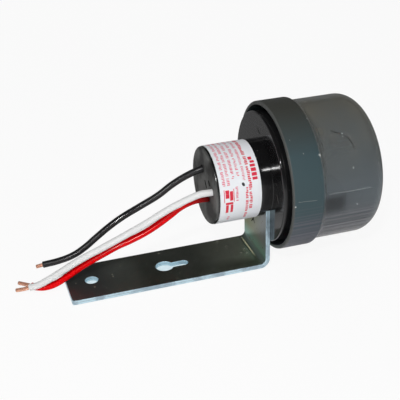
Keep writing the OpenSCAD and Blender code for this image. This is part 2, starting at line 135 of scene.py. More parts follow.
def calc(tree, kind, first, second):
    node = tree.nodes.new("ShaderNodeMath")
    node.operation = kind
    for socket, value in zip(node.inputs, (first, second)):
        if isinstance(value, (int, float)):
            socket.default_value = value
        else:
            tree.links.new(value, socket)
    return node.outputs[0]


def times(tree, first, second):
    return calc(tree, "MULTIPLY", first, second)


def plus(tree, first, second):
    return calc(tree, "ADD", first, second)


def larger(tree, first, second):
    return calc(tree, "MAXIMUM", first, second)


def between(tree, source, rise, drop):  # 1 between two soft edges
    return times(tree, ramp(tree, source, *rise), fall(tree, source, *drop))


speckLook = {"core": 0.6, "cut": 0.001}


def specks(tree, spot, scale, size, share):  # sparse round dots: 1 inside a dot
    cells = tree.nodes.new("ShaderNodeTexVoronoi")
    cells.inputs["Scale"].default_value = scale
    tree.links.new(spot, cells.inputs["Vector"])
    dot = fall(tree, cells.outputs["Distance"], size * speckLook["core"], size)
    pick = tree.nodes.new("ShaderNodeSeparateColor")
    tree.links.new(cells.outputs["Color"], pick.inputs["Color"])
    chosen = fall(tree, pick.outputs["Red"], share, share + speckLook["cut"])
    return times(tree, dot, chosen)


def blendTone(tree, share, first, second):
    node = tree.nodes.new("ShaderNodeMix")
    node.data_type = "RGBA"
    tree.links.new(share, node.inputs["Factor"])
    for socket, value in zip((node.inputs[6], node.inputs[7]), (first, second)):
        if isinstance(value, tuple):
            socket.default_value = (*value, 1.0)
        else:
            tree.links.new(value, socket)
    return node.outputs[2]


def addBump(tree, shader, height, strength, depth, edge=0.0):
    node = tree.nodes.new("ShaderNodeBump")
    node.inputs["Strength"].default_value = strength
    node.inputs["Distance"].default_value = depth
    tree.links.new(height, node.inputs["Height"])
    if edge:  # softens the shading of sharp moulded edges
        soft = tree.nodes.new("ShaderNodeBevel")
        soft.inputs["Radius"].default_value = edge
        tree.links.new(soft.outputs["Normal"], node.inputs["Normal"])
    tree.links.new(node.outputs["Normal"], shader.inputs["Normal"])


# used where a finish names no value of its own
plainLook = {
    "patch": 60, "patchSpan": (0.35, 0.68), "dustSize": 0.16, "fine": 900, "fineSpan": (0.3, 0.7),
    "bump": 0.06, "bumpDepth": 0.0001, "edge": 0.0, "metal": 0.0, "ior": 1.5, "shineFade": 0.006,
    "cloud": 70, "cloudSpan": (0.42, 0.6)}


def mouldedFinish(ownLook):  # plastics, rubber, paper, ink, insulation and plain metal
    look = {**plainLook, **ownLook}
    finish, tree, shader, spot = startFinish(look["name"])
    patches = noise(tree, spot, look["patch"], 5)
    tone = blendTone(tree, ramp(tree, patches, *look["patchSpan"]), look["tone"], look["shift"])
    if "dust" in look:
        dots = specks(tree, spot, look["dustScale"], look["dustSize"], look["dustShare"])
        tone = blendTone(tree, dots, tone, look["dust"])
    fine = noise(tree, spot, look["fine"], 3)
    rough = ramp(tree, fine, *look["fineSpan"], *look["rough"])
    if "shine" in look:  # glossiest between two places along the axis
        low, high = look["shine"]
        fade = look["shineFade"]
        shine = between(tree, axes(tree, spot)[0], (low - fade, low), (high, high + fade))
        rough = plus(tree, rough, ramp(tree, shine, 0.0, 1.0, look["satin"], 0.0))
    if "endRough" in look:  # one end is duller and has a tone of its own, on the red lead a painted shade
        atEnd = fall(tree, axes(tree, spot)[0], look["endFrom"], look["endTo"])
        rough = plus(tree, rough, times(tree, atEnd, look["endRough"]))
        endToneAndShade = look["endToneAndShade"]
        if "endCloud" in look:
            cloud = ramp(tree, noise(tree, spot, look["cloud"], 3), *look["cloudSpan"])
            endToneAndShade = blendTone(tree, cloud, endToneAndShade, look["endCloud"])
        tone = blendTone(tree, atEnd, tone, endToneAndShade)
    tree.links.new(tone, shader.inputs["Base Color"])
    tree.links.new(rough, shader.inputs["Roughness"])
    addBump(tree, shader, fine, look["bump"], look["bumpDepth"], look["edge"])
    shader.inputs["Metallic"].default_value = look["metal"]
    shader.inputs["IOR"].default_value = look["ior"]
    return finish


def wear(node, finish):  # puts a finish on a solid of the frame
    for slot in nodes[node].material_slots:
        slot.material = finish


# leads: places along each one, mm, from the flange's back, sideways and up

flangeBack = 99.6
leadLook = {
    "black": {
        "solid": "wire_black", "core": "conductor_black", "slot": "wire_black", "length": 0.1343,
        "run": [(-9.5, 5.8, 55.3), (-15, 5.8, 55.3), (-21, 4.8, 56.7), (-26.5, 3.2, 58.4),
                (-30.5, 2.6, 58.8), (-35, 2.9, 57.9), (-41, 4.4, 55.1), (-48.4, 6.5, 50.3),
                (-56.8, 8.8, 43.5), (-66.7, 11.6, 37.1), (-76.9, 14.4, 30.6), (-84.2, 16.4, 25),
                (-91.7, 18.5, 18.3), (-99.1, 20.6, 11.5), (-105.6, 22.4, 7), (-113.9, 24.7, 3.7),
                (-122.6, 26.6, 1.9)],
        "bare": [(-122.6, 26.6, 1.9), (-126.6, 27, 1.2)],
        "finish": {"name": "blackInsulation", "tone": (0.009, 0.0095, 0.011), "shift": (0.013, 0.013, 0.014),
                   "rough": (0.12, 0.17), "bump": 0.003, "ior": 1.55, "shine": (0.013, 0.029), "satin": 0.2}},
    "white": {
        "solid": "wire_white", "core": "conductor_white", "slot": "wire_white", "length": 0.1386,
        "run": [(-9.5, -7.92, 51.62), (-13.5, -7.92, 51.62), (-19, -9.6, 51.7), (-24.5, -12.6, 51.9),
                (-29.5, -14, 52), (-34.5, -14.2, 52.2), (-39, -14, 52.1), (-44.8, -13.2, 50.2),
                (-51, -12.3, 47.5), (-58.8, -11.2, 43.6), (-67.9, -9.9, 38.3), (-76.3, -8.7, 33.9),
                (-84.8, -7.5, 29.6), (-93.3, -6.3, 25.4), (-101.9, -5, 21.3), (-109, -4, 17.6),
                (-116.2, -2.8, 13.2), (-123.4, -1.2, 8.7), (-129.9, 1, 4.9), (-133.4, 2.6, 3.7)],
        "bare": [(-133.4, 2.6, 3.7), (-136.9, 4.1, 2.4), (-140.7, 6.2, 1.2)],
        "finish": {"name": "whiteInsulation", "tone": (0.76, 0.765, 0.762), "shift": (0.74, 0.745, 0.742),
                   "rough": (0.42, 0.48), "bump": 0.002, "ior": 1.4}},
    "red": {
        "solid": "wire_red", "core": "conductor_red", "slot": "wire_red", "length": 0.1383,
        "run": [(-9.5, 2.12, 41.58), (-13, 2.12, 41.58), (-18, 0, 41.9), (-23.5, -4.6, 43.7),
                (-28, -7, 45.1), (-32.5, -7.5, 45.3), (-37, -7.1, 45.3), (-42.5, -6.5, 44.3),
                (-48, -6, 42), (-54.6, -5.3, 37.3), (-62.6, -4.5, 32), (-69.9, -3.8, 28.1),
                (-77.1, -3.1, 25.1), (-84.3, -2.4, 22.5), (-91.6, -1.7, 19.1), (-98.9, -1, 15.6),
                (-106.2, -0.3, 11.7), (-112.9, 0.4, 7.5), (-118.6, 1.2, 4.1), (-123.6, 2.2, 2.3),
                (-128.2, 3.6, 1.9), (-132, 6.6, 1.9)],
        "bare": [(-132, 6.6, 1.9), (-134.8, 9.6, 1.6), (-138.4, 13.2, 1.2)],
        "finish": {"name": "redInsulation", "tone": (0.82, 0.001, 0.003), "shift": (0.75, 0.001, 0.003),
                   # the darker end by the housing is painted shade under the white lead
                   "rough": (0.15, 0.2), "bump": 0.002, "ior": 1.2, "endFrom": 0.0668, "endTo": 0.0540,
                   "endRough": 0.1, "endToneAndShade": (0.11, 0.0003, 0.0006)}},
}
leadSize = {
    "radius": 1.9 * mm, "bevel": 6, "steps": 8, "tuck": 0.3,
    "strandRadius": 0.225 * mm, "strandSides": 8, "strandSteps": 10,
    "twist": 6.0, "twistLength": 10 * mm,
    "rings": ((0, 1), (1.98, 6), (3.85, 12))}  # each ring's reach in strand radii and its strands


def rowPoint(place):
    return Vector(((flangeBack + place[0]) * mm, place[1] * mm, place[2] * mm))


def leadCurve(name, points, radius, finish):
    line = bpy.data.curves.new(name, "CURVE")
    line.dimensions = "3D"
    line.bevel_depth = radius
    line.bevel_resolution = leadSize["bevel"]
    line.resolution_u = leadSize["steps"]
    line.use_fill_caps = True
    spline = line.splines.new("BEZIER")
    spline.bezier_points.add(len(points) - 1)
    for knot, place in zip(spline.bezier_points, points):
        knot.co = place
        knot.handle_left_type = knot.handle_right_type = "AUTO"
    line.materials.append(finish)
    piece = bpy.data.objects.new(name, line)
    bpy.context.collection.objects.link(piece)
    return piece


def smoothLine(points, steps):  # points along a soft curve through the places
    ends = [points[0] * 2 - points[1], *points, points[-1] * 2 - points[-2]]
    line = []
    for i in range(1, len(ends) - 2):
        a, b, c, d = ends[i - 1:i + 3]
        for k in range(steps):
            t = k / steps
            line.append(0.5 * ((2 * b) + (c - a) * t + (2 * a - 5 * b + 4 * c - d) * t * t
                               + (3 * b - a - 3 * c + d) * t ** 3))
    line.append(points[-1])
    return line


def around(turn, side, other):
    return math.cos(turn) * side + math.sin(turn) * other


def tubeFaces(mesh, rings):  # closed tube through rings of equal size
    sides = len(rings[0])
    for low, high in zip(rings, rings[1:]):
        for s in range(sides):
            t = (s + 1) % sides
            mesh.faces.new((low[s], low[t], high[t], high[s])).smooth = True
    mesh.faces.new(list(reversed(rings[0])))
    mesh.faces.new(rings[-1])


def ribbonFaces(mesh, rows, smooth):  # flat strip through pairs of points
    for low, high in zip(rows, rows[1:]):
        mesh.faces.new((low[0], low[1], high[1], high[0])).smooth = smooth


def meshPiece(name, mesh, finish):
    data = bpy.data.meshes.new(name)
    mesh.to_mesh(data)
    mesh.free()
    data.materials.append(finish)
    piece = bpy.data.objects.new(name, data)
    bpy.context.collection.objects.link(piece)
    return piece


def strandBundle(name, points, finish, look):  # 19 twisted copper strands
    line = smoothLine(points, look["strandSteps"])
    mesh = bmesh.new()
    r, sides = look["strandRadius"], look["strandSides"]
    length = 0.0
    frames = []
    for i, place in enumerate(line):
        ahead = (line[min(i + 1, len(line) - 1)] - line[max(i - 1, 0)]).normalized()
        side = ahead.cross(Vector((0, 1, 0.2))).normalized()  # never along a strand
        if i:
            length += (place - line[i - 1]).length
        frames.append((place, side, ahead.cross(side), length))
    for reach, count in look["rings"]:
        for k in range(count):
            rings = []
            for place, side, other, along in frames:
                turn = 2 * math.pi * k / count + look["twist"] * along / look["twistLength"]
                middle = place + reach * r * around(turn, side, other)
                rings.append([mesh.verts.new(middle + r * around(2 * math.pi * s / sides, side, other))
                              for s in range(sides)])
            tubeFaces(mesh, rings)
    bmesh.ops.recalc_face_normals(mesh, faces=mesh.faces)
    return meshPiece(name, mesh, finish)


def arcPoints(x, y, radius, first, last, steps):
    turns = [math.radians(first + (last - first) * i / steps) for i in range(steps + 1)]
    return [(x + radius * math.cos(turn), y + radius * math.sin(turn)) for turn in turns]


copperLook = {
    "tone": (0.86, 0.50, 0.36), "shift": (0.78, 0.41, 0.28), "patch": 500, "patchSpan": (0.35, 0.65),
    "dull": (0.55, 0.26, 0.17), "spots": 1400, "dullSpan": (0.62, 0.74), "rough": (0.3, 0.5),
    "bump": 0.15, "bumpDepth": 0.00005, "metal": 0.5}


def copperFinish(look):
    finish, tree, shader, spot = startFinish("bareCopper")
    patches = noise(tree, spot, look["patch"], 5)
    tone = blendTone(tree, ramp(tree, patches, *look["patchSpan"]), look["tone"], look["shift"])
    spots = noise(tree, spot, look["spots"], 3)
    tone = blendTone(tree, ramp(tree, spots, *look["dullSpan"]), tone, look["dull"])
    tree.links.new(tone, shader.inputs["Base Color"])
    rough = ramp(tree, spots, *plainLook["fineSpan"], *look["rough"])
    tree.links.new(rough, shader.inputs["Roughness"])
    addBump(tree, shader, spots, look["bump"], look["bumpDepth"])
    shader.inputs["Metallic"].default_value = look["metal"]
    return finish


bareCopper = copperFinish(copperLook)
for colour, look in leadLook.items():
    insulation = mouldedFinish(look["finish"])
    run = [rowPoint(p) for p in look["run"]]
    lead = leadCurve(colour + "Lead", run, leadSize["radius"], insulation)
    tail = [rowPoint(p) for p in look["bare"]]
    tail[0] += leadSize["tuck"] * (run[-2] - run[-1]).normalized() * mm  # starts inside the insulation
    strands = strandBundle(colour + "Strands", tail, bareCopper, leadSize)
    for piece, solid, slot in ((lead, look["solid"], look["slot"]), (strands, look["core"], "copper")):
        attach(piece, "socket")
        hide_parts(solid)
print("leads laid:", ", ".join(leadLook))


# smoked cap: a thin shell turned round the axis, darker where the black base stands behind the skirt

capLook = {
    "skirt": 42.0, "wall": 2.0, "cap": 39.8, "rim": 3.4, "rimRound": 0.9, "top": 19.9, "shoulder": 4.3,
    "end": 60.1, "round": 10.3, "turns": 160,
    "rimSteps": 6, "shoulderSteps": 14, "roundSteps": 18, "innerSteps": 14,
    "tone": (0.274, 0.320, 0.348), "rough": (0.14, 0.22), "fine": 700,
    "warm": (0.395, 0.388, 0.338), "warmRise": (0.056, 0.088), "cloud": 28, "cloudSpan": (0.3, 0.6),
    # painted shade towards the bottom of the cap
    "lowShade": (0.090, 0.092, 0.100), "lowShadeDrop": (0.016, 0.044),
    # painted reflection of the floor as stripes low on the cap
    "reflectionStripe": (0.62, 0.60, 0.66), "lowReflectionStripe": (0.150, 0.146, 0.172), "stripes": 24,
    "stripeSpan": (0.47, 0.58), "stripeDrop": (0.034, 0.050), "stripeShare": 0.8,
    "stripeEnd": (0.150, 0.156),
    # painted shade beside the skirt
    "inner": (0.120, 0.134, 0.146), "innerFrom": (-1.86, -1.70), "innerTo": (-1.57, -1.49),
    "innerEnd": (0.1312, 0.1368),
    "low": (0.055, 0.088, 0.098), "lowWarm": (0.057, 0.059, 0.052), "lowWarmRise": (0.075, 0.091),
    # painted reflection: the skirt paler towards the bottom
    "lowPale": (0.098, 0.106, 0.132), "lowPaleDrop": (0.020, 0.046),
    # painted highlight on the skirt's rim
    "baseEnd": (0.1200, 0.1220), "rimHighlight": (0.100, 0.104, 0.100), "rimEnd": (0.1033, 0.1040),
    "clear": (0.15, 0.72), "dull": 0.26, "dust": (0.62, 0.64, 0.63), "specks": (260, 0.13, 0.05),
    "ripple": 90, "bump": 0.03, "bumpDepth": 0.0002, "ior": 1.45, "specular": 0.25}
# marks on the cap: distance along and angle of each place, then the width
capMarks = {
    "pale": [([(20.4, 203.3), (21.0, 203.9)], 0.8),
             ([(20.2, 233.6), (20.8, 234.2), (21.4, 234.8)], 1.2),
             ([(37.0, 219.4), (37.5, 219.8)], 0.8), ([(36.9, 222.0), (37.3, 222.2)], 0.5),
             ([(39.2, 246.6), (39.3, 248.2)], 0.4), ([(54.2, 247.0), (54.4, 247.4)], 0.4),
             ([(6.5, 219.7), (6.8, 219.9)], 0.35), ([(11.9, 230.8), (12.1, 231.8)], 0.3),
             ([(24.6, 265.2), (28, 264.9), (33, 265.2), (37.3, 265.4), (44, 265.2),
               (49.3, 265.3)], 0.09),
             ([(41.0, 277.4), (41.9, 278.8)], 0.3), ([(6.0, 265.6), (16.4, 266.6)], 0.14)],
    # the first dark mark is painted shade along the foot of the shoulder, the others are scratches
    "dark": [([(24.4, 209.5), (24.5, 217.2), (24.5, 225.1), (24.4, 231.5)], 0.45),
             ([(31.6, 215.7), (34.1, 218.1), (36.4, 219.2)], 0.6),
             ([(38.2, 221.8), (39.3, 223.1), (41.0, 227.8), (41.6, 233.4)], 0.5),
             ([(48.5, 281.6), (49.4, 283.0)], 0.5)]}
axisHeight = 49.5


def turnPoint(radius, along, angle):  # angle from straight down, towards the far side
    return Vector(((flangeBack + along) * mm, radius * math.sin(angle) * mm,
                   (axisHeight - radius * math.cos(angle)) * mm))


def turnedMesh(profile, turns, creases):  # profile as a closed ring of radius and distance along the axis
    shell = bmesh.new()
    rings = []
    for radius, along in profile:
        if radius < 0.001:  # on the axis
            rings.append([shell.verts.new(turnPoint(0, along, 0))])
        else:
            rings.append([shell.verts.new(turnPoint(radius, along, 2 * math.pi * i / turns))
                          for i in range(turns)])
    for k, low in enumerate(rings):
        high = rings[(k + 1) % len(rings)]
        if len(low) == len(high) == 1:
            continue
        for i in range(turns):
            j = (i + 1) % turns
            corners = [low[i % len(low)], low[j % len(low)], high[j % len(high)], high[i % len(high)]]
            shell.faces.new(list(dict.fromkeys(corners))).smooth = True
    for k in creases:
        ring = set(rings[k])
        for vert in rings[k]:
            for edge in vert.link_edges:
                if edge.other_vert(vert) in ring:
                    edge.smooth = False
    bmesh.ops.recalc_face_normals(shell, faces=shell.faces)
    return shell


def shoulderShare(share):  # smooth step from the skirt down to the cap
    return 0.5 + 0.5 * math.cos(math.pi * share)


def capProfile(look):
    skirt, cap, wall, bend = look["skirt"], look["cap"], look["wall"], look["round"]
    rim, rimRound, top, end = look["rim"], look["rimRound"], look["top"], look["end"]
    inner, bendIn, ledge = cap - wall, bend - wall, top - wall
    steps = look["shoulderSteps"]
    outside = [(skirt - wall, rim)]
    outside += [(skirt - rimRound + y, rim + rimRound + x)
                for x, y in arcPoints(0, 0, rimRound, 180, 90, look["rimSteps"])]
    outside += [(cap + (skirt - cap) * shoulderShare(i / steps), top + look["shoulder"] * i / steps)
                for i in range(steps + 1)]
    outside += [(cap - bend + x, end - bend + y) for x, y in arcPoints(0, 0, bend, 0, 90, look["roundSteps"])]
    outside += [((cap - bend) * k / 4, end) for k in (3, 2, 1, 0)]
    inside = [((cap - bend) * k / 2, end - wall) for k in (0, 1)]
    inside += [(inner - bendIn + x, end - wall - bendIn + y)
               for x, y in arcPoints(0, 0, bendIn, 90, 0, look["innerSteps"])]
    inside += [(inner, ledge), (skirt - wall, ledge)]
    last = len(outside) + len(inside) - 1
    return outside + inside, (0, last - 1, last)


def capFinish(look):
    finish, tree, shader, spot = startFinish("smokedCap")
    x, y, z = axes(tree, spot)
    turn = calc(tree, "ARCTAN2", y, plus(tree, z, -axisHeight * mm))
    stripes = tree.nodes.new("ShaderNodeTexNoise")  # painted reflection: thin pale lines along the axis, low on the near side
    stripes.noise_dimensions = "1D"
    stripes.inputs["Scale"].default_value = look["stripes"]
    tree.links.new(turn, stripes.inputs["W"])
    lines = ramp(tree, stripes.outputs["Fac"], *look["stripeSpan"])
    lines = times(tree, lines, ramp(tree, z, *look["stripeDrop"], look["stripeShare"], 0.0))
    lines = times(tree, lines, fall(tree, x, *look["stripeEnd"]))  # none on the flat end
    cloud = ramp(tree, noise(tree, spot, look["cloud"], 4), *look["cloudSpan"])
    warm = times(tree, ramp(tree, z, *look["warmRise"]), cloud)
    clear = blendTone(tree, warm, look["tone"], look["warm"])
    # painted shade: the clear part darker towards the bottom
    clear = blendTone(tree, fall(tree, z, *look["lowShadeDrop"]), clear, look["lowShade"])
    clear = blendTone(tree, lines, clear, look["reflectionStripe"])
    inner = between(tree, turn, look["innerFrom"], look["innerTo"])  # painted shade: dark patch beside the skirt
    inner = times(tree, inner, fall(tree, x, *look["innerEnd"]))
    clear = blendTone(tree, inner, clear, look["inner"])
    low = blendTone(tree, ramp(tree, z, *look["lowWarmRise"]), look["low"], look["lowWarm"])
    # painted reflection: the skirt paler towards the bottom
    low = blendTone(tree, fall(tree, z, *look["lowPaleDrop"]), low, look["lowPale"])
    low = blendTone(tree, lines, low, look["lowReflectionStripe"])
    above = ramp(tree, x, *look["baseEnd"])
    tone = blendTone(tree, above, low, clear)
    # painted highlight: the skirt's rim lighter
    tone = blendTone(tree, fall(tree, x, *look["rimEnd"]), tone, look["rimHighlight"])
    tone = blendTone(tree, specks(tree, spot, *look["specks"]), tone, look["dust"])
    tree.links.new(tone, shader.inputs["Base Color"])
    rough = ramp(tree, noise(tree, spot, look["fine"], 3), *plainLook["fineSpan"], *look["rough"])
    rough = plus(tree, rough, ramp(tree, above, 0, 1, look["dull"], 0.0))
    tree.links.new(rough, shader.inputs["Roughness"])
    addBump(tree, shader, noise(tree, spot, look["ripple"], 2), look["bump"], look["bumpDepth"])
    tree.links.new(ramp(tree, above, 0, 1, *look["clear"]), shader.inputs["Transmission Weight"])
    shader.inputs["IOR"].default_value = look["ior"]
    shader.inputs["Specular IOR Level"].default_value = look["specular"]
    return finish


profile, creases = capProfile(capLook)
smokedCap = meshPiece("smokedCap", turnedMesh(profile, capLook["turns"], creases), capFinish(capLook))
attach(smokedCap, "head")
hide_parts("cap")
print("cap turned:", len(smokedCap.data.polygons), "faces")


def capRadius(along):  # outside of the cap above a place on the axis
    look = capLook
    if along <= look["top"]:
        return look["skirt"]
    if along < look["top"] + look["shoulder"]:
        share = (along - look["top"]) / look["shoulder"]
        return look["cap"] + (look["skirt"] - look["cap"]) * shoulderShare(share)
    over = along - look["end"] + look["round"]
    if over <= 0:
        return look["cap"]
    return look["cap"] - look["round"] + math.sqrt(look["round"] ** 2 - over ** 2)


markLook = {
    "lift": 0.05, "taper": 0.6,
    "pale": {"name": "paleScuff", "tone": (0.62, 0.64, 0.63), "shift": (0.45, 0.46, 0.45),
             "patch": 900, "rough": (0.5, 0.7)},
    # dark scratches, and painted shade along the shoulder's foot
    "dark": {"name": "darkScratch", "tone": (0.022, 0.022, 0.022), "shift": (0.05, 0.05, 0.05),
             "patch": 700, "rough": (0.4, 0.6)}}


def ribbonHalf(places, i, width, taper):  # half width, narrowed at both ends
    return 0.5 * width * (taper if i in (0, len(places) - 1) else 1.0)


def scratch(mesh, places, width):  # a ribbon just above the cap
    rows = []
    for i, (along, angle) in enumerate(places):
        near, far = places[max(i - 1, 0)], places[min(i + 1, len(places) - 1)]
        reach = capRadius(along)
        run = Vector((far[0] - near[0], math.radians(far[1] - near[1]) * reach)).normalized()
        half = ribbonHalf(places, i, width, markLook["taper"])
        sides = []
        for s in (-1, 1):
            there = along - s * run.y * half
            turned = math.radians(angle) + s * run.x * half / reach
            sides.append(mesh.verts.new(turnPoint(capRadius(there) + markLook["lift"], there, turned)))
        rows.append(sides)
    ribbonFaces(mesh, rows, True)


for shade, marks in capMarks.items():
    sheet = bmesh.new()
    for places, width in marks:
        scratch(sheet, places, width)
    bmesh.ops.recalc_face_normals(sheet, faces=sheet.faces)
    piece = meshPiece(shade + "Marks", sheet, mouldedFinish(markLook[shade]))
    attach(piece, "head")
print("cap marked")

# black mouldings

mouldingLook = {
    "name": "blackMoulding", "tone": (0.0055, 0.0055, 0.006), "shift": (0.009, 0.009, 0.0095),
    "dust": (0.16, 0.16, 0.15), "dustScale": 420, "dustShare": 0.03, "rough": (0.10, 0.17),
    "patch": 90, "bump": 0.012, "ior": 1.6, "edge": 0.00025}
housingLook = {
    **mouldingLook, "name": "housingMoulding", "endRough": 0.42, "endFrom": 0.0672, "endTo": 0.0686,
    "endToneAndShade": (0.026, 0.026, 0.025), "endCloud": (0.130, 0.133, 0.128)}
blackMoulding = mouldedFinish(mouldingLook)
housingMoulding = mouldedFinish(housingLook)
dressed = {"socket_body": blackMoulding, "socket_face": blackMoulding, "rear_housing": housingMoulding}
for node, finish in dressed.items():
    wear(node, finish)
baseLook = {
    "name": "baseMoulding", "tone": (0.006, 0.006, 0.0065), "shift": (0.01, 0.01, 0.0105),
    "rough": (0.2, 0.3), "bump": 0.05}
wear("head_base", mouldedFinish(baseLook))
gasketLook = {
    "name": "gasketRubber", "tone": (0.012, 0.012, 0.012), "shift": (0.02, 0.02, 0.02),
    "rough": (0.55, 0.75), "bump": 0.2, "fine": 1500}
wear("head_gasket", mouldedFinish(gasketLook))

beadLook = {
    "radius": 21.95, "along": -0.06, "thick": 0.3, "first": 62, "last": 298, "steps": 120, "sides": 10}


def beadMesh(look):  # small fillet where the round housing meets the flange, left out where the strip passes
    mesh = bmesh.new()
    rings = []
    for i in range(look["steps"] + 1):
        turn = math.radians(look["first"] + (look["last"] - look["first"]) * i / look["steps"])
        rings.append([mesh.verts.new(turnPoint(look["radius"] + y, look["along"] + x, turn))
                      for x, y in arcPoints(0, 0, look["thick"], 0, 360, look["sides"])[:-1]])
    tubeFaces(mesh, rings)
    bmesh.ops.recalc_face_normals(mesh, faces=mesh.faces)
    return mesh


def flatMark(mesh, x, places, width):  # a ribbon on a face square to the axis, places sideways and up
    rows = []
    for i, (y, z) in enumerate(places):
        near, far = places[max(i - 1, 0)], places[min(i + 1, len(places) - 1)]
        run = Vector((far[0] - near[0], far[1] - near[1])).normalized()
        half = ribbonHalf(places, i, width, faceLook["taper"])
        rows.append([mesh.verts.new(Vector((x, y - s * run.y * half, z + s * run.x * half)) * mm)
                     for s in (-1, 1)])
    ribbonFaces(mesh, rows, False)


# marks on the flange's back, painted shade over the end's slits and marks on the leg: how far along, places,
# width
faceMarks = {
    "flange": (99.57, "black_moulding", [([(-26.4, 50.9), (-28.0, 48.3), (-29.5, 46.5)], 0.55),
                                         ([(-24.9, 57.2), (-25.4, 55.6)], 0.4)]),
    "slit": (67.07, "black_moulding", [([(-1.8, 53.8), (-3.3, 51.9), (-4.8, 50.0)], 2.0),
                                      ([(-8.2, 56.5), (-9.4, 55.3), (-10.6, 54.1)], 2.2)]),
    "leg": (96.97, "plated_steel", [([(2.9, 23.6), (2.0, 21.4), (0.1, 19.8)], 1.2),
                                    ([(2.2, 22.0), (3.8, 20.3), (5.3, 18.5)], 1.0)])}
faceLook = {
    "taper": 0.4,
    "flange": {"name": "flangeScuff", "tone": (0.17, 0.17, 0.16), "shift": (0.09, 0.09, 0.085),
               "patch": 800, "rough": (0.4, 0.6)},
    "slit": {"name": "slitShade", "tone": (0.003, 0.003, 0.003), "shift": (0.005, 0.005, 0.005),
             "rough": (0.6, 0.8), "ior": 1.05},
    "leg": {"name": "legScuff", "tone": (0.012, 0.012, 0.012), "shift": (0.03, 0.03, 0.028),
            "patch": 800, "rough": (0.5, 0.7), "ior": 1.05}}
bead = meshPiece("cornerBead", beadMesh(beadLook), blackMoulding)
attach(bead, "socket")
for place, (x, slot, marks) in faceMarks.items():
    sheet = bmesh.new()
    for places, width in marks:
        flatMark(sheet, x, places, width)
    bmesh.ops.recalc_face_normals(sheet, faces=sheet.faces)
    piece = meshPiece(place + "Marks", sheet, mouldedFinish(faceLook[place]))
    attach(piece, "socket")
print("mouldings dressed")

# plated bracket: punched strip with sheared edges, bent up into the leg

bracketLook = {
    "overhang": 14.1, "width": 35.0, "steel": 2.6, "corner": 2.0, "bendInside": 3.0, "leg": flangeBack,
    "axis": axisHeight, "ringHole": 12.4, "hole": 3.6, "keyAt": 42.2, "keyRound": 5.0, "keySlot": 2.45,
    "keyReach": 13.8, "edge": 0.22, "edgeSteps": 3, "foldSteps": 12,
    "cornerSteps": 6, "ringSteps": 40, "keySteps": 36, "slotSteps": 16, "holeSteps": 40, "ringHoleSteps": 48,
    "cuts": (-8, 8, 20, 32, 60, 75, 85, 110, 120, 130), "normalWeight": 70,
    "rolled": {
        "tone": (0.46, 0.50, 0.455), "shift": (0.36, 0.40, 0.35), "cloud": 45, "cloudSpan": (0.36, 0.62),
        "stain": (0.29, 0.31, 0.24), "haze": 18, "hazeSpan": (0.5, 0.75),
        "near": (0.58, 0.61, 0.62), "far": (0.50, 0.53, 0.30), "across": (-0.012, 0.012),
        "foot": (0.46, 0.78, 0.67), "footDrop": (0.0075, 0.0145), "footDull": 0.08,
        "legRise": (0.0945, 0.0965), "legShare": 0.85,
        "fold": (0.25, 0.31, 0.28), "foldRise": (0.0948, 0.0954), "foldTop": (0.0042, 0.0062),
        "foldShare": 0.8,
        "tip": (0.105, 0.115, 0.112), "tipDrop": (0.004, 0.030), "tipDull": 0.22,
        # painted sheen on the arm before the bend
        "paintedSheen": (0.92, 0.98, 0.84), "paintedSheenFrom": (0.060, 0.088), "paintedSheenTo": (0.0925, 0.0940),
        "paintedSheenNear": (-0.013, -0.004),
        # painted highlight along the inside of the bend
        "bendHighlight": (0.74, 0.70, 0.44), "bendHighlightFrom": (0.0938, 0.0943), "bendHighlightTo": (0.0945, 0.0950),
        "bendHighlightNear": (-0.0085, -0.003), "bendHighlightFar": (0.012, 0.0165), "bendHighlightUp": (0.0018, 0.0022),
        "bendHighlightDull": 0.75,
        "pit": (0.30, 0.30, 0.24), "pits": (330, 0.2, 0.15), "pitRough": 0.35, "pitDull": 0.8,
        "grain": (60, 900, 900), "rough": (0.36, 0.46), "bump": 0.06, "bumpDepth": 0.00005},
    "sheared": {
        "cut": (0.60, 0.79, 0.88), "cutShift": (0.36, 0.47, 0.55), "patch": 100, "patchSpan": (0.46, 0.58),
        "ragged": 500, "raggedShare": 0.16,
        "torn": (0.34, 0.43, 0.48), "lineFrom": (0.52, 0.60), "lineTo": (0.60, 0.72),
        "grain": (1800, 1800, 500), "rough": (0.26, 0.45), "tornSpan": (0.5, 0.65), "tornRough": 0.12,
        "bump": 0.2, "bumpDepth": 0.00006, "metal": 0.7}}


def stripLoops(look):  # flat outline and holes, mm along the strip and across it
    half, corner, start = look["width"] / 2, look["corner"], -look["overhang"]
    bendOut = look["bendInside"] + look["steel"]
    neutral = look["bendInside"] + look["steel"] / 2
    bendFrom = look["leg"] - bendOut
    bendTo = bendFrom + neutral * math.pi / 2
    ring = bendTo + look["axis"] - bendOut
    outline = arcPoints(start + corner, corner - half, corner, 180, 270, look["cornerSteps"])
    outline += arcPoints(ring, 0, half, -90, 90, look["ringSteps"])
    outline += arcPoints(start + corner, half - corner, corner, 90, 180, look["cornerSteps"])
    slotEnd = look["keyAt"] + look["keyReach"] - look["keySlot"]
    meet = math.degrees(math.asin(look["keySlot"] / look["keyRound"]))
    keyhole = arcPoints(look["keyAt"], 0, look["keyRound"], meet, 360 - meet, look["keySteps"])
    keyhole += arcPoints(slotEnd, 0, look["keySlot"], -90, 90, look["slotSteps"])
    hole = arcPoints(0, 0, look["hole"], 0, 360, look["holeSteps"])[:-1]
    ringHole = arcPoints(ring, 0, look["ringHole"], 0, 360, look["ringHoleSteps"])[:-1]
    return (outline, keyhole, hole, ringHole), bendFrom, bendTo, neutral, bendOut


def bendPlace(look, along, across, depth, bendFrom, bendTo, neutral, bendOut):
    if along <= bendFrom:
        return Vector((along, across, depth)) * mm
    if along < bendTo:
        turn = (along - bendFrom) / neutral
        reach = bendOut - depth
        return Vector((bendFrom + reach * math.sin(turn), across, bendOut - reach * math.cos(turn))) * mm
    return Vector((look["leg"] - depth, across, bendOut + along - bendTo)) * mm


